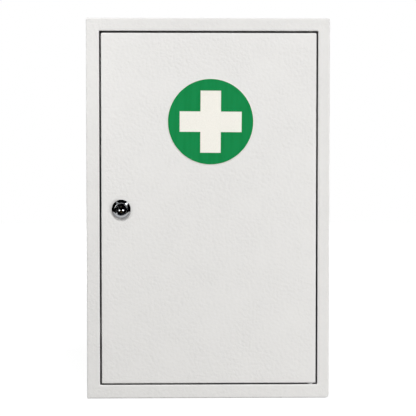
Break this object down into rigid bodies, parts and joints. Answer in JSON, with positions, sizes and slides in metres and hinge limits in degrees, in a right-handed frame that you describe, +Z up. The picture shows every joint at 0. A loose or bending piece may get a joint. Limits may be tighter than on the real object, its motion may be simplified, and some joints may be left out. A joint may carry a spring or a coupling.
{
  "type": "wall cabinet",
  "caption": "Slim steel wall cabinet for first aid supplies, with an inset pan door on pivot pins, a cam lock, fixed shelves and keyhole slots in the back.",
  "frame": {"origin": "middle of the back panel's rear face, which lies on the wall", "axes": "+Z up, the front looks along -Y, +X on the right for someone facing the cabinet"},
  "size_m": [0.3, 0.1444, 0.47],
  "materials": {
    "powder_coat": "pale warm grey powder coat, satin, with fine orange peel",
    "chrome": "bright chrome plate",
    "zinc_plated_steel": "zinc plated, satin",
    "brass": "stamped, plain",
    "nylon": "natural nylon",
    "rubber": "matt",
    "luminous_film": "cream photoluminescent film",
    "green_print": "screen printed safety green, satin"
  },
  "bodies": {
    "casing": {"casing": "powder_coat", "back_panel": "powder_coat", "shelf_1": "powder_coat", "shelf_2": "powder_coat", "door_stop_lower": "powder_coat", "door_stop_upper": "powder_coat", "stop_pad_lower": "rubber", "stop_pad_upper": "rubber", "lower_pivot_pin": "zinc_plated_steel", "upper_pivot_pin": "zinc_plated_steel", "pivot_washer": "nylon"},
    "door": {"door_panel": "powder_coat", "lower_pivot_plate": "zinc_plated_steel", "upper_pivot_plate": "zinc_plated_steel", "sign_film": "luminous_film", "sign_print": "green_print", "lock_housing": "chrome", "lock_nut": "zinc_plated_steel"},
    "lock_rotor": {"lock_plug": "chrome", "lock_wafer_1": "brass", "lock_wafer_2": "brass", "lock_wafer_3": "brass", "lock_wafer_4": "brass", "lock_wafer_5": "brass", "wafer_spring_1": "zinc_plated_steel", "wafer_spring_2": "zinc_plated_steel", "wafer_spring_3": "zinc_plated_steel", "wafer_spring_4": "zinc_plated_steel", "wafer_spring_5": "zinc_plated_steel", "lock_stop_washer": "zinc_plated_steel", "lock_cam": "zinc_plated_steel", "cam_washer": "zinc_plated_steel", "cam_screw": "zinc_plated_steel"}
  },
  "joints": [
    {"name": "door_hinge", "type": "hinge", "parent": "casing", "child": "door", "pos_m": [0.127, -0.1345, 0], "axis": [0, 0, 1], "range_deg": [0, 110]},
    {"name": "lock_turn", "type": "hinge", "parent": "door", "child": "lock_rotor", "pos_m": [-0.1072, -0.14, 0.0002], "axis": [0, 1, 0], "range_deg": [0, 90]}
  ]
}
